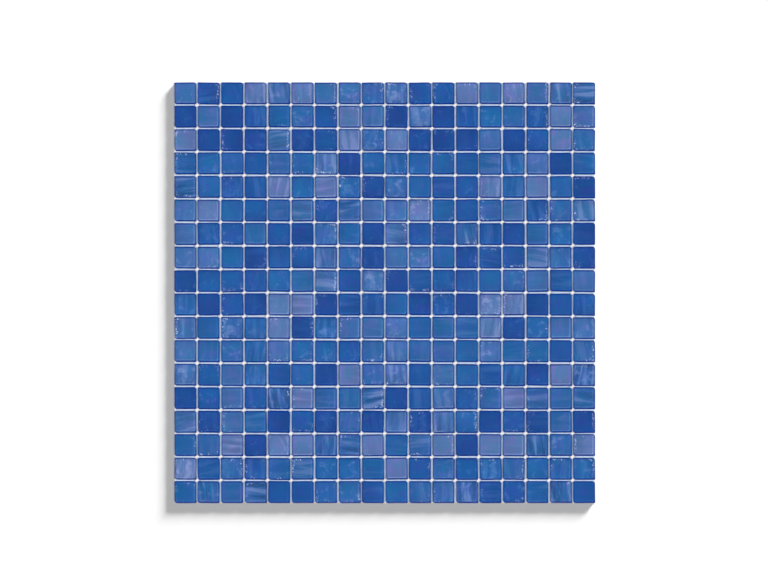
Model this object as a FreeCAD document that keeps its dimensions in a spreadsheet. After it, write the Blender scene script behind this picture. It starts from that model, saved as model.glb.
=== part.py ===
"""Glass mosaic sheet: 18 rows of 18 small pressed glass tiles in mixed blues, held on a white net.

Units are millimetres. The sheet lies flat with its finished face up. X runs along the rows, Y up the
columns and Z from the net towards the face. The origin is the centre of the sheet, on the net's underside.
"""

import FreeCAD, Part
import Sketcher
import os
import random

# Driving sizes: name, value, meaning
DRIVING_SIZES = [
    ("tile_side", 15.2, "side of a tile where it is widest, at its shoulder"),
    ("tile_thickness", 4.0, "glass from back to face"),
    ("joint_width", 1.2, "gap between two neighbouring shoulders"),
    ("columns", 18, "tiles along X"),
    ("rows", 18, "tiles along Y"),
    ("edge_width", 0.9, "how far the softened edge of the face reaches inwards"),
    ("edge_depth", 0.5, "how far the softened edge of the face reaches down, to the shoulder"),
    ("face_corner", 0.4, "leg of the flat that stands for each rounded corner of the face"),
    ("side_draft", 4.0, "degrees by which the sides close in towards the back, as the mould needs"),
    ("mix_repeat", 9, "columns after which the mix of glasses starts again"),
    ("strand_width", 1.0, "width of a net strand"),
    ("strand_thickness", 0.3, "thickness of a net strand"),
    ("strands_per_tile", 2, "net strands to each tile pitch, one of them under the joint"),
]

# Glasses of the mix, darkest first, with each one's share of the tiles in percent
GLASS_MIX = [
    ("deep_cobalt", 15),
    ("cobalt", 20),
    ("azure", 19),
    ("cornflower", 18),
    ("periwinkle", 17),
    ("lavender", 11),
]
MIX_SEED = 11

# Lengths that follow from the driving sizes
PITCH = "(Sizes.tile_side + Sizes.joint_width)"
SHEET_LENGTH_X = f"(Sizes.columns * {PITCH} - Sizes.joint_width)"
SHEET_LENGTH_Y = f"(Sizes.rows * {PITCH} - Sizes.joint_width)"
STRAND_PITCH = f"({PITCH} / Sizes.strands_per_tile)"
SHOULDER_CORNER = "(Sizes.face_corner + Sizes.edge_width * (2 - sqrt(2)))"

ORIGIN_POINT = (-1, 1)
LEVEL_TOLERANCE = 1e-6

document = FreeCAD.newDocument("MosaicSheet")


def make_sizes():
    """The spreadsheet that every sub-part takes its sizes from."""
    sheet = document.addObject("Spreadsheet::Sheet", "Sizes")
    for row, (name, value, meaning) in enumerate(DRIVING_SIZES, start=1):
        sheet.set(f"A{row}", name)
        sheet.set(f"B{row}", str(value))
        sheet.set(f"C{row}", meaning)
        sheet.setAlias(f"B{row}", name)
    document.recompute()
    return sheet


sizes = make_sizes()


def size(name):
    """A driving size, read back from the spreadsheet."""
    return float(sizes.get(name))


def origin_feature(body, role):
    """One of a body's own origin planes or axes."""
    return next(feature for feature in body.Origin.OriginFeatures if feature.Role == role)


def plan_sketch(body, name):
    """An empty sketch on the body's XY plane."""
    sketch = body.newObject("Sketcher::SketchObject", name)
    sketch.AttachmentSupport = [(origin_feature(body, "XY_Plane"), "")]
    sketch.MapMode = "FlatFace"
    return sketch


def add_outline(sketch, corners):
    """A closed outline through rough corners, with its square sides held square. Returns its lines."""
    first = sketch.GeometryCount
    lines = list(range(first, first + len(corners)))
    for start, end in zip(corners, corners[1:] + corners[:1]):
        sketch.addGeometry(Part.LineSegment(FreeCAD.Vector(*start, 0), FreeCAD.Vector(*end, 0)), False)
    for line, (start, end) in zip(lines, zip(corners, corners[1:] + corners[:1])):
        following = first + (line - first + 1) % len(corners)
        sketch.addConstraint(Sketcher.Constraint("Coincident", line, 2, following, 1))
        if start[0] == end[0]:
            sketch.addConstraint(Sketcher.Constraint("Vertical", line))
        if start[1] == end[1]:
            sketch.addConstraint(Sketcher.Constraint("Horizontal", line))
    return lines


def drive(sketch, direction, low, high, name, expression):
    """Binds the distance from one point to another, along X or Y, to an expression."""
    index = sketch.addConstraint(Sketcher.Constraint(f"Distance{direction}", *low, *high, 1.0))
    sketch.renameConstraint(index, name)
    sketch.setExpression(f"Constraints.{name}", expression)


def add_rectangle(sketch, label, length_x, length_y, centre_x, centre_y):
    """A rectangle whose sides and centre follow four expressions."""
    bottom, right, top, left = add_outline(sketch, [(1, 1), (9, 1), (9, 4), (1, 4)])
    drive(sketch, "X", (bottom, 1), (bottom, 2), f"{label}_length_x", length_x)
    drive(sketch, "Y", (right, 1), (right, 2), f"{label}_length_y", length_y)
    drive(sketch, "X", ORIGIN_POINT, (right, 2), f"{label}_right", f"{centre_x} + {length_x} / 2")
    drive(sketch, "Y", ORIGIN_POINT, (right, 2), f"{label}_upper", f"{centre_y} + {length_y} / 2")


def make_tile():
    """One pressed tile, with the shoulder that its softened edge and its drafted sides share at Z = 0."""
    body = document.addObject("PartDesign::Body", "tile_pattern")

    outline = plan_sketch(body, "ShoulderOutline")
    corners = [(6, -7), (7, -6), (7, 6), (6, 7), (-6, 7), (-7, 6), (-7, -6), (-6, -7)]
    lower_right, right, upper_right, top, upper_left, left, lower_left, bottom = add_outline(outline, corners)
    drive(outline, "X", (left, 1), (right, 1), "width", "Sizes.tile_side")
    drive(outline, "X", ORIGIN_POINT, (right, 1), "half_width", "Sizes.tile_side / 2")
    drive(outline, "Y", (bottom, 1), (top, 1), "height", "Sizes.tile_side")
    drive(outline, "Y", ORIGIN_POINT, (top, 1), "half_height", "Sizes.tile_side / 2")
    drive(outline, "X", (lower_right, 1), (lower_right, 2), "lower_right_x", SHOULDER_CORNER)
    drive(outline, "Y", (lower_right, 1), (lower_right, 2), "lower_right_y", SHOULDER_CORNER)
    drive(outline, "X", (upper_right, 2), (upper_right, 1), "upper_right_x", SHOULDER_CORNER)
    drive(outline, "Y", (upper_right, 1), (upper_right, 2), "upper_right_y", SHOULDER_CORNER)
    drive(outline, "X", (upper_left, 2), (upper_left, 1), "upper_left_x", SHOULDER_CORNER)
    drive(outline, "Y", (upper_left, 2), (upper_left, 1), "upper_left_y", SHOULDER_CORNER)
    drive(outline, "X", (lower_left, 1), (lower_left, 2), "lower_left_x", SHOULDER_CORNER)
    drive(outline, "Y", (lower_left, 2), (lower_left, 1), "lower_left_y", SHOULDER_CORNER)

    glass = body.newObject("PartDesign::Pad", "GlassThickness")
    glass.Profile = (outline, [""])
    glass.SideType = "Two sides"
    glass.setExpression("Length", "Sizes.edge_depth")
    glass.setExpression("Length2", "Sizes.tile_thickness - Sizes.edge_depth")
    document.recompute()

    face = next(f"Face{n}" for n, each in enumerate(glass.Shape.Faces, start=1) if each.normalAt(0, 0).z > 0.5)
    edge = body.newObject("PartDesign::Chamfer", "SoftenedEdge")
    edge.Base = (glass, [face])
    edge.ChamferType = "Two distances"
    edge.FlipDirection = True
    edge.setExpression("Size", "Sizes.edge_width")
    edge.setExpression("Size2", "Sizes.edge_depth")
    document.recompute()
    shoulder = [vertex for vertex in edge.Shape.Vertexes if abs(vertex.Z) < LEVEL_TOLERANCE]
    if len(shoulder) != len(corners):
        raise RuntimeError("The softened edge does not end at the shoulder")

    sides = [
        f"Face{n}"
        for n, each in enumerate(edge.Shape.Faces, start=1)
        if abs(each.normalAt(0, 0).z) < LEVEL_TOLERANCE
    ]
    draft = body.newObject("PartDesign::Draft", "DraftedSides")
    draft.Base = (edge, sides)
    draft.NeutralPlane = (origin_feature(body, "XY_Plane"), [""])
    draft.Reversed = True
    draft.setExpression("Angle", "Sizes.side_draft")
    document.recompute()
    if draft.Shape.Volume >= edge.Shape.Volume:
        raise RuntimeError("The sides do not close in towards the back")
    return body


def shuffled_glasses(places):
    """The glasses for a number of places in random order, each glass with its exact share."""
    all_shares = sum(share for _, share in GLASS_MIX)
    shares_so_far = 0
    deck = []
    for glass, share in GLASS_MIX:
        shares_so_far += share
        deck += [glass] * (round(places * shares_so_far / all_shares) - len(deck))
    random.Random(MIX_SEED).shuffle(deck)
    return deck


def tile_centres_by_glass():
    """Where the tiles of each glass lie. The block of mixed columns is laid again beside itself."""
    columns, rows, repeat = int(size("columns")), int(size("rows")), int(size("mix_repeat"))
    pitch = size("tile_side") + size("joint_width")
    block = shuffled_glasses(rows * repeat)
    centres = {glass: [] for glass, _ in GLASS_MIX}
    for row in range(rows):
        for column in range(columns):
            x = (column - (columns - 1) / 2) * pitch
            y = (row - (rows - 1) / 2) * pitch
            centres[block[row * repeat + column % repeat]].append(FreeCAD.Vector(x, y, 0))
    return centres


def make_tiles():
    """All tiles of one glass in one sub-part, seated on the upper strands of the net."""
    tile = make_tile().Shape
    shoulder_height = 2 * size("strand_thickness") + size("tile_thickness") - size("edge_depth")
    sub_parts = []
    for glass, centres in tile_centres_by_glass().items():
        sub_part = document.addObject("Part::Feature", f"tiles_{glass}")
        sub_part.Shape = Part.makeCompound([tile.translated(centre) for centre in centres])
        sub_part.Placement = FreeCAD.Placement(FreeCAD.Vector(0, 0, shoulder_height), FreeCAD.Rotation())
        sub_parts.append(sub_part)
    return sub_parts


def make_strands(name, runs_along, length, spread, tiles_across, underside):
    """One layer of the net: a strand under each joint, those between, and one along each border."""
    body = document.addObject("PartDesign::Body", name)
    body.AllowCompound = True
    spread_axis = "Y_Axis" if runs_along == "X" else "X_Axis"

    def add_strand(sketch, label, centre):
        if runs_along == "X":
            add_rectangle(sketch, label, length, "Sizes.strand_width", "0", centre)
        else:
            add_rectangle(sketch, label, "Sizes.strand_width", length, centre, "0")

    def pad(sketch, pad_name):
        feature = body.newObject("PartDesign::Pad", pad_name)
        feature.Profile = (sketch, [""])
        feature.setExpression("Length", "Sizes.strand_thickness")
        return feature

    first_sketch = plan_sketch(body, f"{name}_first_outline")
    inner_strands = f"({tiles_across} * Sizes.strands_per_tile - 1)"
    add_strand(first_sketch, "strand", f"0 - ({inner_strands} - 1) / 2 * {STRAND_PITCH}")
    first_strand = pad(first_sketch, f"{name}_first")
    document.recompute()

    inner = body.newObject("PartDesign::LinearPattern", f"{name}_inner")
    inner.Originals = [first_strand]
    inner.Direction = (origin_feature(body, spread_axis), [""])
    inner.Mode = "Spacing"
    inner.setExpression("Offset", STRAND_PITCH)
    inner.setExpression("Occurrences", inner_strands)
    body.Tip = inner
    document.recompute()

    border_sketch = plan_sketch(body, f"{name}_border_outline")
    border_centre = f"({spread} - Sizes.strand_width) / 2"
    add_strand(border_sketch, "low", f"0 - {border_centre}")
    add_strand(border_sketch, "high", border_centre)
    body.Tip = pad(border_sketch, f"{name}_border")
    body.setExpression(".Placement.Base.z", underside)
    return body


def make_net():
    """The net: strands along X at the bottom, and strands along Y on them, which carry the tiles."""
    weft = make_strands("net_weft", "X", SHEET_LENGTH_X, SHEET_LENGTH_Y, "Sizes.rows", "0")
    warp = make_strands("net_warp", "Y", SHEET_LENGTH_Y, SHEET_LENGTH_X, "Sizes.columns", "Sizes.strand_thickness")
    return [weft, warp]


def check(sub_parts):
    """Stops if any feature failed or any sub-part has no sound shape."""
    failed = [item.Label for item in document.Objects if {"Invalid", "Error"} & set(item.State)]
    unsound = [part.Label for part in sub_parts if part.Shape.isNull() or not part.Shape.isValid()]
    if failed or unsound:
        raise RuntimeError(f"Failed features: {failed}. Unsound shapes: {unsound}.")


def write(sub_parts):
    """One STEP file for each sub-part, named by its label."""
    os.makedirs("parts", exist_ok=True)
    for part in sub_parts:
        part.Shape.exportStep(f"parts/{part.Label}.step")
        solids = part.Shape.Solids
        print(f"{part.Label}: {len(solids)} solids, {sum(solid.Volume for solid in solids):.1f} cubic mm")


finished = make_tiles() + make_net()
document.recompute()
check(finished)
write(finished)
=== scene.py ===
"""A sheet of small glass mosaic tiles in mixed blues on a white net, lying face up on a pale floor.

X runs along the rows, Y up the columns and Z out of the finished face, as in the frame. Lengths of the sheet
are in millimetres and turned into metres when a mesh is made. Those of the studio are in metres.
"""

import math
import random

import bpy
import numpy as np
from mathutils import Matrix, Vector


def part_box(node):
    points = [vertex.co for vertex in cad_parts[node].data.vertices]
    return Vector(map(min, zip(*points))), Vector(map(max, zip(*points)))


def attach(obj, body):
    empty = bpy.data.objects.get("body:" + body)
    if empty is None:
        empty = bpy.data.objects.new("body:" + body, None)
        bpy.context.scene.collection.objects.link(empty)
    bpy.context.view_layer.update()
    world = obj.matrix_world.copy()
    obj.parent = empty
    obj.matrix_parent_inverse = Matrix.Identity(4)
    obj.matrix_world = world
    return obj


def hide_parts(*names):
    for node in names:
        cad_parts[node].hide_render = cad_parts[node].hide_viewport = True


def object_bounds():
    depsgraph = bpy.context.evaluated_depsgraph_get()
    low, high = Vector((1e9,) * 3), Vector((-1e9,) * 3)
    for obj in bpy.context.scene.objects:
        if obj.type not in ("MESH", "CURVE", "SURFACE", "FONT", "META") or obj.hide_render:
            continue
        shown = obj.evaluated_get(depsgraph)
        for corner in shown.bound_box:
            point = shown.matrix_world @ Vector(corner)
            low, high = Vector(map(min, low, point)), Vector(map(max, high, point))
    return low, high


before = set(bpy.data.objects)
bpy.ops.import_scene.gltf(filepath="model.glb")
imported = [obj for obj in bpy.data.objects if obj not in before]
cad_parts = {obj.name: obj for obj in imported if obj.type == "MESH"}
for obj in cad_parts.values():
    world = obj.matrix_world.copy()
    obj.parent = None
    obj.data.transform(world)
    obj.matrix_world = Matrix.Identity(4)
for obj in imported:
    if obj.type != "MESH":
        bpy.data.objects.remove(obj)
frame_low, frame_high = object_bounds()

MILLIMETRE = 0.001
TILES_ACROSS = 18
TILE_PITCH = 16.4
LEVEL_TOLERANCE = 0.01
SEED = 20

SHEET_LOW = np.array(frame_low) / MILLIMETRE
SHEET_HIGH = np.array(frame_high) / MILLIMETRE
NET_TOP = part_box("net_warp")[1][2] / MILLIMETRE


# Meshes

def node_points(node):
    """The corners of the solids of a node of the frame."""
    return np.array([vertex.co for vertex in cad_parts[node].data.vertices]) / MILLIMETRE


def moved_inside(points):
    """The points of a tile or yarn at the border, moved back as one into the sheet's own outline."""
    for axis in (0, 1):
        points[:, axis] += max(SHEET_LOW[axis] - points[:, axis].min(), 0)
        points[:, axis] -= max(points[:, axis].max() - SHEET_HIGH[axis], 0)
    return points


def joined(shapes):
    """One shape from several. A shape is its points and its faces."""
    faces = []
    first = 0
    for points, own_faces in shapes:
        faces += [[first + place for place in face] for face in own_faces]
        first += len(points)
    return np.concatenate([points for points, _ in shapes]), faces


def new_piece(name, node, finish, shape):
    """A smooth mesh in place of a node of the frame."""
    points, faces = shape
    mesh = bpy.data.meshes.new(name)
    mesh.from_pydata((points * MILLIMETRE).tolist(), [], faces)
    mesh.shade_smooth()
    mesh.update()
    piece = bpy.data.objects.new(name, mesh)
    bpy.context.scene.collection.objects.link(piece)
    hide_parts(node)
    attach(piece, "root")
    mesh.materials.append(finish)
    return piece


def add_point_values(piece, name, values):
    """Numbers or vectors, one to each point, that the piece's finish can read by name."""
    kind, key = ("FLOAT", "value") if values.ndim == 1 else ("FLOAT_VECTOR", "vector")
    attribute = piece.data.attributes.new(name, kind, "POINT")
    attribute.data.foreach_set(key, values.astype(np.float32).ravel())


# Tiles

SHOULDER_DROP = 0.5
SHOULDER = SHEET_HIGH[2] - SHOULDER_DROP
EDGE_WIDTHS = (0.6, 0.9)
EDGE_DROP_SHARES = (0.85, 1.0)
EDGE_RINGS = 5
SIDE_DRAFT = math.radians(4.0)
SIDE_RING_DEPTHS = (1.2, 3.1)
BACK_EDGE = 0.15
GROOVE_DEPTH = 0.35

# The radii at the upper right and lower left, then those at the other two corners
ROUND_CORNERS = (1.8, 2.3)
SHARP_CORNERS = (0.3, 0.6)
SHARPEST_CORNER = 0.25

# How far tiles differ from one another
OVERSIZES = (0.07, 0.16)
OUTLINE_WAVES = (2, 3, 5)
OUTLINE_SWELL = 0.003
FACE_WAVES = 5
FACE_WAVE_LENGTHS = (6, 14)
FACE_WAVE_DEPTH = 0.008
WAVELESS_MARGIN = 1.5
TURNING_ERROR = math.radians(0.45)
SEATING_ERROR = 0.12
LARGEST_SEATING_ERROR = 2 * SEATING_ERROR

# The lines of a tile's grid, from -1 to 1, close together at the corners
CORNER_LINES = np.array([1.0, 0.96, 0.92, 0.87])
MIDDLE_LINES = 9
MIDDLE_MARGIN = 0.09


def grid_lines():
    """Where the lines of the grid run."""
    innermost, next_one = CORNER_LINES[-1], CORNER_LINES[-2]
    reach = 2 * innermost - next_one - MIDDLE_MARGIN
    return np.concatenate([-CORNER_LINES, np.linspace(-reach, reach, MIDDLE_LINES), CORNER_LINES[::-1]])


def border_of_grid(count):
    """The places in the grid along its border, counter-clockwise from its lower left corner."""
    last = count - 1
    lower = [(i, 0) for i in range(last)]
    right = [(last, j) for j in range(last)]
    upper = [(i, last) for i in range(last, 0, -1)]
    left = [(0, j) for j in range(last, 0, -1)]
    return np.array([i + j * count for i, j in lower + right + upper + left])


LINES = grid_lines()
GRID = np.array([(x, y) for y in LINES for x in LINES])
BORDER = border_of_grid(len(LINES))


def grooves():
    """How deep the back is hollowed at each place of the grid, in grooves up the tile clear of its border."""
    depths = np.arange(len(LINES)) % 2 * GROOVE_DEPTH
    depths[[0, 1, -2, -1]] = 0
    return np.tile(depths, len(LINES))


def tile_faces():
    """The quads of one tile: its face, the rings of its edge and sides, and its back."""
    count = len(LINES)
    rings = EDGE_RINGS + len(SIDE_RING_DEPTHS) + 1
    points = len(BORDER)
    back = len(GRID) + rings * points
    faces = []
    for j in range(count - 1):
        for i in range(count - 1):
            corner = i + j * count
            quad = (corner, corner + 1, corner + count + 1, corner + count)
            faces.append(quad)
            faces.append(tuple(back + place for place in reversed(quad)))
    loops = [BORDER]
    loops += [len(GRID) + ring * points + np.arange(points) for ring in range(rings)]
    loops.append(back + BORDER)
    for upper, lower in zip(loops, loops[1:]):
        for n in range(points):
            following = (n + 1) % points
            faces.append((upper[n], lower[n], lower[following], upper[following]))
    return np.array(faces).tolist()


TILE_FACES = tile_faces()


def rounded_square(places, half_side, radii):
    """Places in the square from -1 to 1 laid onto a square with rounded corners, ring by ring.

    The first radius is that of the upper right and lower left corners, the second that of the other two.
    """
    radius = np.where(places[:, 0] * places[:, 1] > 0, *radii)
    ring = np.abs(places).max(axis=1)
    ring_or_one = np.where(ring > 0, ring, 1)
    on_border = places / ring_or_one[:, None]
    along = np.abs(on_border).min(axis=1)
    straight = 1 - radius / half_side
    turn = np.clip((along - straight) / (1 - straight), 0, 1) * math.pi / 4
    near = np.where(along < straight, along * half_side, half_side - radius + radius * np.sin(turn))
    far = half_side - radius + radius * np.cos(turn)
    x_is_far = np.abs(on_border[:, 0]) >= np.abs(on_border[:, 1])
    x = np.where(x_is_far, far, near) * np.sign(on_border[:, 0])
    y = np.where(x_is_far, near, far) * np.sign(on_border[:, 1])
    return np.stack([x, y], axis=1) * ring[:, None]


def pressed_levels(half_side, chance):
    """The half side that a tile came out with, and its outlines from the face down, each with its height."""
    edge_width = chance.uniform(*EDGE_WIDTHS)
    edge_drop = SHOULDER_DROP * chance.uniform(*EDGE_DROP_SHARES)
    corner_radii = chance.uniform(*ROUND_CORNERS), chance.uniform(*SHARP_CORNERS)
    half_side += chance.uniform(*OVERSIZES)

    def outline(places, inset):
        radii = [max(radius - inset, SHARPEST_CORNER) for radius in corner_radii]
        return rounded_square(places, half_side - inset, radii)

    levels = [(outline(GRID, edge_width), SHOULDER + edge_drop)]
    for ring in range(1, EDGE_RINGS + 1):
        turn = ring / EDGE_RINGS * math.pi / 2
        edge = outline(GRID[BORDER], edge_width * (1 - math.sin(turn)))
        levels.append((edge, SHOULDER + edge_drop * math.cos(turn)))
    for depth in SIDE_RING_DEPTHS:
        levels.append((outline(GRID[BORDER], depth * math.tan(SIDE_DRAFT)), SHOULDER - depth))
    back_inset = (SHOULDER - NET_TOP) * math.tan(SIDE_DRAFT)
    levels.append((outline(GRID[BORDER], back_inset), NET_TOP + BACK_EDGE))
    levels.append((outline(GRID, back_inset + BACK_EDGE), NET_TOP + grooves()))
    return half_side, levels


def swollen(flat, half_side, chance):
    """The outline of a pressed tile is never quite square, though it stays as wide as it was."""
    around = np.arctan2(flat[:, 1], flat[:, 0])
    factor = np.ones(len(flat))
    for waves in OUTLINE_WAVES:
        factor += OUTLINE_SWELL * chance.random() * np.cos(waves * around + chance.uniform(0, math.tau))
    flat = flat * factor[:, None]
    return flat * (half_side / np.abs(flat).max())


def face_dip(flat, chance):
    """How far the fire-polished face dips below its highest level, in soft waves."""
    dip = np.zeros(len(flat))
    for _ in range(FACE_WAVES):
        heading = chance.uniform(0, math.tau)
        length = chance.uniform(*FACE_WAVE_LENGTHS)
        across = flat[:, 0] * math.cos(heading) + flat[:, 1] * math.sin(heading)
        wave = np.sin(math.tau * across / length + chance.uniform(0, math.tau))
        dip += FACE_WAVE_DEPTH * (1 + wave)
    return dip


def seated(flat, centre, chance):
    """Points about a tile's centre, moved to where it sits on the net, a little turned and out of line."""
    turn = chance.gauss(0, TURNING_ERROR)
    turned = np.column_stack([
        flat[:, 0] * math.cos(turn) - flat[:, 1] * math.sin(turn),
        flat[:, 0] * math.sin(turn) + flat[:, 1] * math.cos(turn),
    ])
    shift = [chance.gauss(0, SEATING_ERROR), chance.gauss(0, SEATING_ERROR)]
    return turned + centre + np.clip(shift, -LARGEST_SEATING_ERROR, LARGEST_SEATING_ERROR)


class Tile:
    """One pressed tile: its points, and what its glass needs to know at each of them.

    Its place is measured from the middle of its back. Its rim is the distance inwards from its border or, on
    its sides, the height below the shoulder as a negative number. Its two lots are three random numbers each.
    """

    def __init__(self, centre, half_side, chance):
        lot = [chance.random() for _ in range(3)]
        second_lot = [chance.random() for _ in range(3)]
        half_side, levels = pressed_levels(half_side, chance)
        flat = np.concatenate([outline for outline, _ in levels])
        height = np.concatenate([np.broadcast_to(level, len(outline)) for outline, level in levels])
        on_side = height < SHOULDER - LEVEL_TOLERANCE
        self.rim = np.where(on_side, height - SHOULDER, half_side - np.abs(flat).max(axis=1))
        self.place = np.column_stack([flat, height - NET_TOP])
        self.lot = np.tile(lot, (len(flat), 1))
        self.second_lot = np.tile(second_lot, (len(flat), 1))
        flat = swollen(flat, half_side, chance)
        height = height - face_dip(flat, chance) * np.clip(self.rim / WAVELESS_MARGIN, 0, 1)
        self.points = moved_inside(np.column_stack([seated(flat, centre, chance), height]))


def tile_boxes(node):
    """The centre and half side of each tile of a node, from the frame."""
    points = node_points(node)
    half_joint = (TILES_ACROSS * TILE_PITCH - (SHEET_HIGH - SHEET_LOW)[0]) / 2
    cells = ((points[:, :2] - SHEET_LOW[:2] + half_joint) / TILE_PITCH).astype(int)
    keys = cells[:, 0] * TILES_ACROSS + cells[:, 1]
    for key in sorted(set(keys.tolist())):
        own = points[keys == key, :2]
        yield (own.min(axis=0) + own.max(axis=0)) / 2, (own.max(axis=0) - own.min(axis=0)).max() / 2


def make_tiles(glass, chance):
    """All tiles of one glass as one mesh, each shaped a little differently."""
    node = f"tiles_{glass}"
    tiles = [Tile(centre, half_side, chance) for centre, half_side in tile_boxes(node)]
    shape = joined([(tile.points, TILE_FACES) for tile in tiles])
    piece = new_piece(f"glass_tiles_{glass}", node, glass_finish(glass), shape)
    for name in ("place", "rim", "lot", "second_lot"):
        add_point_values(piece, name, np.concatenate([getattr(tile, name) for tile in tiles]))
    return piece


# Net

YARN_SIDES = 8
YARN_STEPS = 7 * TILES_ACROSS
COATED_WIDTH = 1.13

# How much wider and narrower a weft yarn gets, and how fast along it
WEFT_WAVER = 0.06
WEFT_WAVER_RATE = 0.9

# The two yarns of a warp strand, as shares of its half width and half height
TWIST_SIDE = 0.5
TWIST_STEEPNESS = 3
TWIST_LIFT = 0.27
TWISTED_YARN_WIDTH = 0.58
TWISTED_YARN_HEIGHT = 0.72

# Drops of adhesive: how far they reach, and the share of that reach and the height of each of their rings
DROP_SIDES = 16
DROP_REACH = 1.9
DROP_REACH_ON_YARNS = 2.6
DROP_POINTEDNESS = 8
DROP_PROFILE = ((0.9, 0.05), (1.0, 0.3), (0.9, 0.6), (0.7, 1.5), (0.5, 1.95), (0.2, 2.0))
JOINT_LINES = (np.arange(1, TILES_ACROSS) - TILES_ACROSS / 2) * TILE_PITCH


def strand_boxes(node, across):
    """The lowest and the highest corner of each strand of a net layer, from the frame."""
    points = node_points(node)
    edges = np.unique(np.round(points[:, across], 3))
    for low, high in zip(edges[::2] - LEVEL_TOLERANCE, edges[1::2] + LEVEL_TOLERANCE):
        own = points[(points[:, across] > low) & (points[:, across] < high)]
        yield own.min(axis=0), own.max(axis=0)


def tube(rings):
    """A closed shape through rings of points that run counter-clockwise as seen from the last of them."""
    sides = len(rings[0])
    starts = [sides * n for n in range(len(rings))]
    faces = []
    for here, there in zip(starts, starts[1:]):
        for n in range(sides):
            following = (n + 1) % sides
            faces.append((here + n, here + following, there + following, there + n))
    faces.append(tuple(range(sides))[::-1])
    faces.append(tuple(range(starts[-1], starts[-1] + sides)))
    return np.concatenate(rings), faces


def steps_along(low, high):
    return np.linspace(low[0], high[0], YARN_STEPS + 1)


def yarn(low, high, side, lift, half_width, half_height):
    """A flat tube that runs along X through a strand's box. Its side, lift and half width may vary."""
    turns = np.linspace(0, math.tau, YARN_SIDES, endpoint=False)
    rings = [
        np.column_stack([np.full(YARN_SIDES, x), y + wide * np.cos(turns), z + half_height * np.sin(turns)])
        for x, y, z, wide in np.broadcast(steps_along(low, high), side, lift, half_width)
    ]
    points, faces = tube(rings)
    return points + (low + high) / 2 * (0, 1, 1), faces


def weft_yarn(low, high, chance):
    """A weft yarn lies straight, pressed flat by the coating, and varies a little in width."""
    _, half_width, half_height = (high - low) / 2
    waver = np.sin(steps_along(low, high) * WEFT_WAVER_RATE + chance.uniform(0, math.tau))
    return yarn(low, high, 0.0, 0.0, half_width * (COATED_WIDTH + WEFT_WAVER * waver), half_height)


def warp_yarn(low, high, phase):
    """One of the two yarns of a warp strand, which change sides where they cross a weft yarn."""
    _, half_width, half_height = (high - low) / 2
    swing = math.tau * steps_along(low, high) / TILE_PITCH + phase
    quarter_on = np.cos(swing + math.pi / 2)
    side = TWIST_SIDE * COATED_WIDTH * half_width * np.clip(TWIST_STEEPNESS * quarter_on, -1, 1)
    lift = TWIST_LIFT * half_height * np.cos(swing)
    width = TWISTED_YARN_WIDTH * COATED_WIDTH * half_width
    return yarn(low, high, side, lift, width, TWISTED_YARN_HEIGHT * half_height)


def adhesive_drop(x, y):
    """The drop of adhesive that joins four tile corners to the net, drawn out along the yarns."""
    turns = np.linspace(0, math.tau, DROP_SIDES, endpoint=False)
    reach = DROP_REACH + (DROP_REACH_ON_YARNS - DROP_REACH) * np.cos(2 * turns) ** DROP_POINTEDNESS
    return tube([
        np.column_stack([
            x + share * reach * np.cos(turns), y + share * reach * np.sin(turns), np.full(DROP_SIDES, height),
        ])
        for share, height in DROP_PROFILE
    ])


def turned_upright(shape):
    """A shape that lies along X, mirrored so that it runs along Y."""
    points, faces = shape
    return points[:, [1, 0, 2]], [face[::-1] for face in faces]


def make_net_layer(node, shapes, finish):
    """A layer of the net as one piece, its yarns kept inside the sheet's outline."""
    shapes = [(moved_inside(points), faces) for points, faces in shapes]
    return new_piece(f"{node}_yarns", node, finish, joined(shapes))


def make_weft(finish, chance):
    """The lower layer of the net, with the drops of adhesive where the joints cross."""
    shapes = [weft_yarn(low, high, chance) for low, high in strand_boxes("net_weft", 1)]
    shapes += [adhesive_drop(x, y) for x in JOINT_LINES for y in JOINT_LINES]
    return make_net_layer("net_weft", shapes, finish)


def make_warp(finish):
    """The upper layer of the net."""
    shapes = [
        turned_upright(warp_yarn(low[[1, 0, 2]], high[[1, 0, 2]], phase))
        for low, high in strand_boxes("net_warp", 0)
        for phase in (0, math.pi)
    ]
    return make_net_layer("net_warp", shapes, finish)


# Finishes

class Amount:
    """A value that changes over a surface. Python's operators on numbers add Math nodes."""

    def __init__(self, finish, socket):
        self.finish = finish
        self.socket = socket

    def beside(self, output):
        """Another output of the same node."""
        return Amount(self.finish, self.socket.node.outputs[output])

    def worked_out(self, operation, first, second):
        return self.finish.add("ShaderNodeMath", {"operation": operation}, {0: first, 1: second})

    def __add__(self, other):
        return self.worked_out("ADD", self, other)

    def __sub__(self, other):
        return self.worked_out("SUBTRACT", self, other)

    def __rsub__(self, other):
        return self.worked_out("SUBTRACT", other, self)

    def __mul__(self, other):
        return self.worked_out("MULTIPLY", self, other)

    def __gt__(self, other):
        return self.worked_out("GREATER_THAN", self, other)

    __radd__ = __add__
    __rmul__ = __mul__

    def or_more(self, other):
        """The larger of two values."""
        return self.worked_out("MAXIMUM", self, other)

    def off_multiples(self, spacing):
        """How far the value is from the nearest multiple of a spacing."""
        return self.worked_out("PINGPONG", self, spacing / 2)


def linear(red, green, blue):
    """A colour given as it shows on a screen, from 0 to 255, in the linear values that a shader takes."""
    def channel(value):
        value = value / 255
        return value / 12.92 if value <= 0.04045 else ((value + 0.055) / 1.055) ** 2.4
    return channel(red), channel(green), channel(blue), 1.0


def grey(level):
    return level, level, level, 1.0


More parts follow.
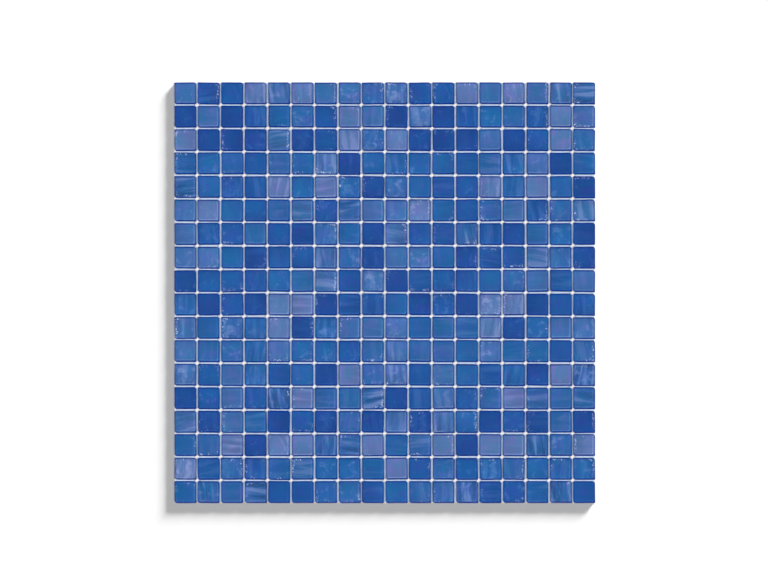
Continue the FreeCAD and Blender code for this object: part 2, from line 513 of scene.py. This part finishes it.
class Finish:
    """The nodes of one material, or of the world."""

    def __init__(self, owner):
        self.owner = owner
        owner.use_nodes = True
        self.tree = owner.node_tree
        self.tree.nodes.clear()

    def add(self, kind, settings=None, values=None, output=0):
        """A node with its settings, then its sockets, each of which takes a plain value or an Amount."""
        node = self.tree.nodes.new(kind)
        for name, setting in (settings or {}).items():
            setattr(node, name, setting)
        for key, value in (values or {}).items():
            if isinstance(value, Amount):
                self.tree.links.new(value.socket, node.inputs[key])
            else:
                node.inputs[key].default_value = value
        return Amount(self, node.outputs[output]) if node.outputs else None

    def point_value(self, name, output="Fac"):
        return self.add("ShaderNodeAttribute", {"attribute_name": name}, output=output)

    def parts(self, vector):
        """The three numbers of a vector."""
        x = self.add("ShaderNodeSeparateXYZ", None, {0: vector})
        return x, x.beside("Y"), x.beside("Z")

    def stretched(self, vector, factors):
        return self.add("ShaderNodeVectorMath", {"operation": "MULTIPLY"}, {0: vector, 1: factors})

    def turned(self, vector, angle):
        values = {"Vector": vector, "Angle": angle}
        return self.add("ShaderNodeVectorRotate", {"rotation_type": "Z_AXIS"}, values)

    def brightened(self, colour, factor):
        return self.add("ShaderNodeVectorMath", {"operation": "SCALE"}, {0: colour, "Scale": factor})

    def fade(self, amount, start, end, low=0.0, high=1.0):
        """A soft step of an amount from low at start to high at end."""
        limits = {"Value": amount, "From Min": start, "From Max": end, "To Min": low, "To Max": high}
        return self.add("ShaderNodeMapRange", {"interpolation_type": "SMOOTHSTEP"}, limits)

    def noise(self, vector, scale, which=0.0, detail=2.0, roughness=0.5, distortion=0.0):
        values = {
            "Vector": vector, "Scale": scale, "W": which, "Detail": detail,
            "Roughness": roughness, "Distortion": distortion,
        }
        return self.add("ShaderNodeTexNoise", {"noise_dimensions": "4D"}, values)

    def mix(self, factor, first, second):
        """A mix of two colours."""
        return self.add("ShaderNodeMix", {"data_type": "RGBA"}, {0: factor, 6: first, 7: second}, output=2)

    def relief(self, height, strength, distance):
        values = {"Height": height, "Strength": strength, "Distance": distance}
        return self.add("ShaderNodeBump", None, values)

    def surface(self, values):
        shader = self.add("ShaderNodeBsdfPrincipled", None, values)
        self.add("ShaderNodeOutputMaterial", None, {"Surface": shader})
        return self.owner


# Colours as they show, and how strong the streaks, the flakes and the painted light line at the edge are in a
# glass
GLASS_LOOKS = {
    "deep_cobalt": {
        "main": (25, 73, 151), "greener": (19, 79, 151), "violet": (35, 68, 153), "pale": (63, 106, 178),
        "streaking": 0.25, "flaking": 0.6, "painted_edge_light": 0.2,
    },
    "cobalt": {
        "main": (27, 84, 160), "greener": (19, 90, 160), "violet": (39, 79, 164), "pale": (79, 123, 189),
        "streaking": 0.35, "flaking": 0.7, "painted_edge_light": 0.25,
    },
    "azure": {
        "main": (31, 95, 166), "greener": (23, 102, 165), "violet": (44, 91, 170), "pale": (96, 139, 197),
        "streaking": 0.4, "flaking": 0.85, "painted_edge_light": 0.3,
    },
    "cornflower": {
        "main": (43, 97, 166), "greener": (31, 103, 165), "violet": (60, 95, 174), "pale": (125, 150, 205),
        "streaking": 0.8, "flaking": 1.0, "painted_edge_light": 0.35,
    },
    "periwinkle": {
        "main": (59, 105, 170), "greener": (46, 111, 170), "violet": (77, 104, 179), "pale": (135, 156, 208),
        "streaking": 0.6, "flaking": 1.0, "painted_edge_light": 0.5,
    },
    "lavender": {
        "main": (89, 117, 177), "greener": (73, 121, 175), "violet": (104, 114, 183), "pale": (154, 170, 216),
        "streaking": 0.5, "flaking": 0.9, "painted_edge_light": 0.6,
    },
}
# The navy of the painted shade on the tiles' rounded edges, then the white of the flakes
EDGE_SHADE_NAVY = linear(5, 48, 140)
FLAKE_WHITE = linear(214, 226, 246)

# How strong each effect is where it is full
DRIFT = 0.75
PALE_BAND = 0.75
DARK_BAND = 0.8
THREAD = 0.35
CLOUD = 0.55
SIDE_TO_SIDE = 0.04
MIDDLE_TO_MARGIN = 0.16
# Painted shade on a tile's rounded edge: along the lower edge, along the upper edge, and all round
LOWER_EDGE_SHADE = 0.6
UPPER_EDGE_SHADE = 0.45
ALL_ROUND_EDGE_SHADE = 0.4

# Streaks: how dark the dark ones are, how they are pulled out, their lean in radians, and the share of tiles
# in which they lie level
DARK_BAND_SHADE = 0.74
PULLED = (0.14, 1.0, 0.3)
LARGEST_LEAN = 0.2
SHARE_LEVEL = 0.35

# How unlike the noise of two tiles is, and how far the lines along the border wobble
NOISE_SPREAD_OF_TILES = 97.0
WOBBLE = 0.4


class GlassFinish(Finish):
    """Pressed opaque glass. The lots of a tile, numbers from 0 to 1, set how much it has of each effect."""

    def __init__(self, glass):
        super().__init__(bpy.data.materials.new(f"{glass}_glass"))
        self.look = GLASS_LOOKS[glass]
        self.pale = linear(*self.look["pale"])
        self.place = self.point_value("place", "Vector")
        self.x, self.y, _ = self.parts(self.place)
        self.rim = self.point_value("rim")
        self.lot_a, self.lot_b, self.lot_c = self.parts(self.point_value("lot", "Vector"))
        self.lot_d, self.lot_e, self.lot_f = self.parts(self.point_value("second_lot", "Vector"))
        upright = (self.lot_b > SHARE_LEVEL) * (math.pi / 2)
        self.along_streaks = self.turned(self.place, (self.lot_c - 0.5) * (2 * LARGEST_LEAN) + upright)
        self.wobbling_rim = self.rim + self.pattern(11.0, self.place, 0.5) * WOBBLE

        pulled = self.stretched(self.along_streaks, PULLED)
        self.bands = self.pattern(7.0, pulled, 0.28, distortion=0.4)
        self.threads = self.pattern(19.0, pulled, 1.2, detail=3.0, roughness=0.6, distortion=0.4)
        self.ripple = self.pattern(3.0, self.place, 0.6)

    def pattern(self, number, vector, scale, **qualities):
        """A noise that is another one in each tile, and for each number."""
        return self.noise(vector, scale, self.lot_a * NOISE_SPREAD_OF_TILES + number, **qualities)

    def drifting(self):
        """The glass's own colour, which drifts slowly to a greener and a more violet blue."""
        to_green = self.fade(self.pattern(0.0, self.place, 0.1, detail=1.0), 0.45, 0.62, high=DRIFT)
        to_violet = self.fade(self.pattern(31.0, self.place, 0.12, detail=1.0), 0.48, 0.66, high=DRIFT)
        colour = self.mix(to_green, linear(*self.look["main"]), linear(*self.look["greener"]))
        return self.mix(to_violet, colour, linear(*self.look["violet"]))

    def streaked(self, colour):
        """Streaks pulled through the glass, level in some tiles and upright in the others."""
        streaky = self.fade(self.lot_d, 0.5, 0.85, low=0.15) * self.look["streaking"]
        darker = linear(*(channel * DARK_BAND_SHADE for channel in self.look["main"]))
        colour = self.mix(self.fade(self.bands, 0.48, 0.64) * streaky * PALE_BAND, colour, self.pale)
        colour = self.mix(self.fade(self.bands, 0.48, 0.36) * streaky * DARK_BAND, colour, darker)
        return self.mix(self.fade(self.threads, 0.55, 0.72) * streaky * THREAD, colour, self.pale)

    def clouded(self, colour):
        clouds = self.pattern(41.0, self.place, 0.2, detail=3.0, distortion=0.8)
        cloudy = self.fade(self.lot_b, 0.4, 0.9, low=0.1, high=CLOUD)
        return self.mix(self.fade(clouds, 0.52, 0.74) * cloudy, colour, self.pale)

    def shaded(self, colour):
        """One side of a tile is lighter than the other, and its middle lighter or darker than its margin."""
        slope, _, _ = self.parts(self.along_streaks)
        middle = self.fade(self.wobbling_rim, 2.0, 3.0) * (self.lot_b - 0.5) * MIDDLE_TO_MARGIN
        return self.brightened(colour, slope * (self.lot_f - 0.5) * SIDE_TO_SIDE + middle + 1.0)

    def flakes(self):
        """Where flakes and trapped bubbles are: in some tiles, mostly along one of their edges."""
        specks = self.pattern(71.0, self.place, 1.15, roughness=0.6, distortion=0.5)
        patches = self.pattern(53.0, self.place, 0.22, detail=1.0)
        near_edge = self.fade(self.rim, 3.0, 1.1, low=0.05) * self.fade(self.rim, 0.2, 0.6)
        off_middle, _, _ = self.parts(self.turned(self.place, self.lot_c * math.tau))
        flaky = self.fade(self.lot_e, 0.55, 0.75) * self.fade(off_middle, 1.0, 5.0, low=0.1)
        flecked = self.fade(specks, 0.56, 0.6) * self.fade(patches, 0.44, 0.52)
        return flecked * near_edge * flaky * self.look["flaking"]

    def painted_light_at_edges(self, colour):
        """A thin line of painted light inside the right and lower edges."""
        line = self.fade(self.wobbling_rim, 1.4, 1.65) * self.fade(self.wobbling_rim, 2.1, 1.8)
        right = self.fade(self.x, 5.2, 6.0) * self.fade(self.lot_f, 0.3, 0.8, low=0.2)
        lower = self.fade(self.y, -5.2, -6.0) * self.fade(self.lot_e, 0.7, 0.2, low=0.2)
        return self.mix(line * (right + lower) * self.look["painted_edge_light"], colour, self.pale)

    def with_painted_edge_shade(self, colour):
        """Painted shade on the rounded edge, darkest along the lower edge, that fades down the sides."""
        lower = self.fade(self.y, -5.8, -6.6) * LOWER_EDGE_SHADE
        upper = self.fade(self.y, 5.8, 6.6) * UPPER_EDGE_SHADE
        rim = self.fade(self.wobbling_rim, 1.5, 0.7) * self.fade(self.rim, -1.6, -0.4, low=0.3)
        return self.mix(rim * (lower + upper + ALL_ROUND_EDGE_SHADE), colour, EDGE_SHADE_NAVY)


def glass_finish(glass):
    finish = GlassFinish(glass)
    flakes = finish.flakes()
    colour = finish.shaded(finish.clouded(finish.streaked(finish.drifting())))
    colour = finish.mix(flakes, colour, FLAKE_WHITE)
    height = finish.ripple + flakes * 0.8 + finish.threads * 0.3
    return finish.surface({
        # Painted light inside two edges, then painted shade on the rounded edges
        "Base Color": finish.with_painted_edge_shade(finish.painted_light_at_edges(colour)),
        "Roughness": 0.07 + flakes * 0.35 + finish.fade(finish.ripple, 0.4, 0.7) * 0.05,
        "IOR": 1.5,
        "Normal": finish.relief(height, strength=0.3, distance=0.00005),
    })


# The yarn's darker and paler fibres, both tinted with painted blue light from the glass
BLUE_LIT_YARN_DARKER = linear(208, 227, 255)
BLUE_LIT_YARN_PALER = linear(226, 240, 255)
FIBRE_GRAIN = (1.5, 1.5, 4.0)
# How far from a crossing of the joints the yarn starts to turn pure white, and where it is fully white: white
# adhesive and painted light
CROSSING_LIGHT_REACH = 2.0
FULL_CROSSING_LIGHT_REACH = 0.9


def net_finish():
    """Glass-fibre yarn under a coating, tinted with painted blue light from the glass, and pure white where
    the joints cross, from white adhesive and painted light.
    """
    finish = Finish(bpy.data.materials.new("coated_net"))
    in_metres = finish.add("ShaderNodeTexCoord", output="Object")
    place = finish.stretched(in_metres, (1 / MILLIMETRE, 1 / MILLIMETRE, 1 / MILLIMETRE))
    x, y, _ = finish.parts(place)
    fibres = finish.noise(finish.stretched(place, FIBRE_GRAIN), 1.0, detail=3.0)
    off_crossing = x.off_multiples(TILE_PITCH).or_more(y.off_multiples(TILE_PITCH))
    # Painted blue light on the yarn, then white adhesive and painted light near each crossing
    colour = finish.mix(finish.fade(fibres, 0.35, 0.7), BLUE_LIT_YARN_DARKER, BLUE_LIT_YARN_PALER)
    colour = finish.mix(finish.fade(off_crossing, CROSSING_LIGHT_REACH, FULL_CROSSING_LIGHT_REACH), colour, grey(1.0))
    return finish.surface({
        "Base Color": colour,
        "Roughness": 0.55 + fibres * 0.2,
        "Normal": finish.relief(fibres, strength=0.4, distance=0.0001),
    })


# Studio

FLOOR_SIZE = 12.0
FLOOR_SHADES = (grey(0.97), grey(0.985))

# The floor's own light beside the sheet, and the distances from the middle between which it grows to full
FLOOR_LIFT = 0.05
CLEAR_OF_SHADOW = (0.35, 1.5)

# The world's light on the pieces, and how bright it is in what shines
WORLD_LIGHT = 0.03
WALLS_IN_MIRROR = 0.55
CEILING_IN_MIRROR = 0.08

# The photograph's frame and the sheet in it, in pixels
PHOTO_WIDTH = 768
PHOTO_CENTRE = (384.0, 292.5)
SHEET_WIDTH_IN_PHOTO = 420.9
SHEET_CENTRE_IN_PHOTO = (384.8, 292.7)

# The camera, its lens and film in millimetres
LENS = 250.0
FILM_WIDTH = 36.0
FARTHEST_SEEN = 100.0


def floor_finish():
    """A pale floor that the camera and reflections see as pure white outside the shadow, far off too."""
    finish = Finish(bpy.data.materials.new("pale_floor"))
    place = finish.add("ShaderNodeTexCoord", output="Object")
    from_middle = finish.add("ShaderNodeVectorMath", {"operation": "LENGTH"}, {0: place}, output="Value")
    camera = finish.add("ShaderNodeLightPath", output="Is Camera Ray")
    seen = camera + camera.beside("Is Glossy Ray") + camera.beside("Is Transmission Ray")
    lift = finish.fade(from_middle, *CLEAR_OF_SHADOW, low=FLOOR_LIFT)
    return finish.surface({
        "Base Color": finish.mix(finish.noise(place, 3.0), *FLOOR_SHADES),
        "Roughness": 0.9,
        "Specular IOR Level": 0.0,
        "Emission Color": finish.brightened(grey(1.0)[:3], seen * lift),
        "Emission Strength": 1.0,
    })


def make_floor():
    bpy.ops.mesh.primitive_plane_add(size=FLOOR_SIZE, location=(0, 0, 0))
    floor = bpy.context.object
    floor.name = "floor"
    floor.data.materials.append(floor_finish())
    return floor


def make_world():
    """Soft even light. The camera sees white all round, and the ceiling mirrors darker than the walls."""
    world = bpy.data.worlds.new("studio")
    bpy.context.scene.world = world
    finish = Finish(world)
    _, _, upward = finish.parts(finish.add("ShaderNodeTexCoord", output="Generated"))
    mirrored = finish.fade(upward, 0.25, 0.6, WALLS_IN_MIRROR, CEILING_IN_MIRROR)
    camera = finish.add("ShaderNodeLightPath", output="Is Camera Ray")
    shiny = camera.beside("Is Glossy Ray") + camera.beside("Is Transmission Ray")
    light = shiny * (mirrored - WORLD_LIGHT) + WORLD_LIGHT + camera * (1.0 - WORLD_LIGHT)
    background = finish.add("ShaderNodeBackground", None, {"Color": grey(1.0), "Strength": light})
    finish.add("ShaderNodeOutputWorld", None, {"Surface": background})


def add_lamp(name, direction, distance, size, share, receivers=None, mirrored=False):
    """An oblong lamp that gives a level surface its share of full light."""
    data = bpy.data.lights.new(name, "AREA")
    data.shape = "RECTANGLE"
    data.size, data.size_y = size
    towards = Vector(direction).normalized()
    data.energy = share * math.pi ** 2 * distance ** 2 / towards.z
    lamp = bpy.data.objects.new(name, data)
    lamp.location = towards * distance
    lamp.rotation_euler = towards.to_track_quat("Z", "Y").to_euler()
    lamp.visible_glossy = mirrored
    bpy.context.scene.collection.objects.link(lamp)
    if receivers is not None:
        lamp.light_linking.receiver_collection = receivers


def collection_of(name, objects):
    group = bpy.data.collections.new(name)
    for each in objects:
        group.objects.link(each)
    return group


def add_lamps(sheet_pieces, floor):
    """Strips overhead light the joints along X more than those along Y. A low lamp throws the shadow."""
    sheet = collection_of("lit_sheet", sheet_pieces)
    ground = collection_of("lit_floor", [floor])
    above = (0, 0, 1)
    over_shoulder = (0.9, 1.0, 1.2)
    low_down = (1.85, 2.25, 0.97)
    add_lamp("overhead", above, distance=3.9, size=(1.8, 0.6), share=0.36)
    add_lamp("overhead_strip", above, distance=3.9, size=(2.2, 0.6), share=0.62, receivers=sheet)
    add_lamp(
        "upper_right", over_shoulder, distance=3.0, size=(1.2, 1.2), share=0.05,
        receivers=sheet, mirrored=True,
    )
    add_lamp("low_side", low_down, distance=12.0, size=(3.4, 3.4), share=0.68, receivers=ground)


def make_camera():
    """Straight above the sheet, far enough off for a long lens to fill the frame as the photograph does."""
    metres_per_pixel = (frame_high.x - frame_low.x) / SHEET_WIDTH_IN_PHOTO
    data = bpy.data.cameras.new("camera")
    data.lens = LENS
    data.sensor_width = FILM_WIDTH
    data.clip_end = FARTHEST_SEEN
    camera = bpy.data.objects.new("camera", data)
    across = (PHOTO_CENTRE[0] - SHEET_CENTRE_IN_PHOTO[0]) * metres_per_pixel
    upward = (SHEET_CENTRE_IN_PHOTO[1] - PHOTO_CENTRE[1]) * metres_per_pixel
    distance = LENS / FILM_WIDTH * PHOTO_WIDTH * metres_per_pixel
    camera.location = (across, upward, SHEET_HIGH[2] * MILLIMETRE + distance)
    bpy.context.scene.collection.objects.link(camera)
    bpy.context.scene.camera = camera


def make_sheet():
    """All pieces of the sheet."""
    chance = random.Random(SEED)
    coated_net = net_finish()
    pieces = [make_tiles(glass, chance) for glass in GLASS_LOOKS]
    return pieces + [make_weft(coated_net, chance), make_warp(coated_net)]


add_lamps(make_sheet(), make_floor())
make_world()
make_camera()
bpy.context.scene.view_settings.view_transform = "Standard"
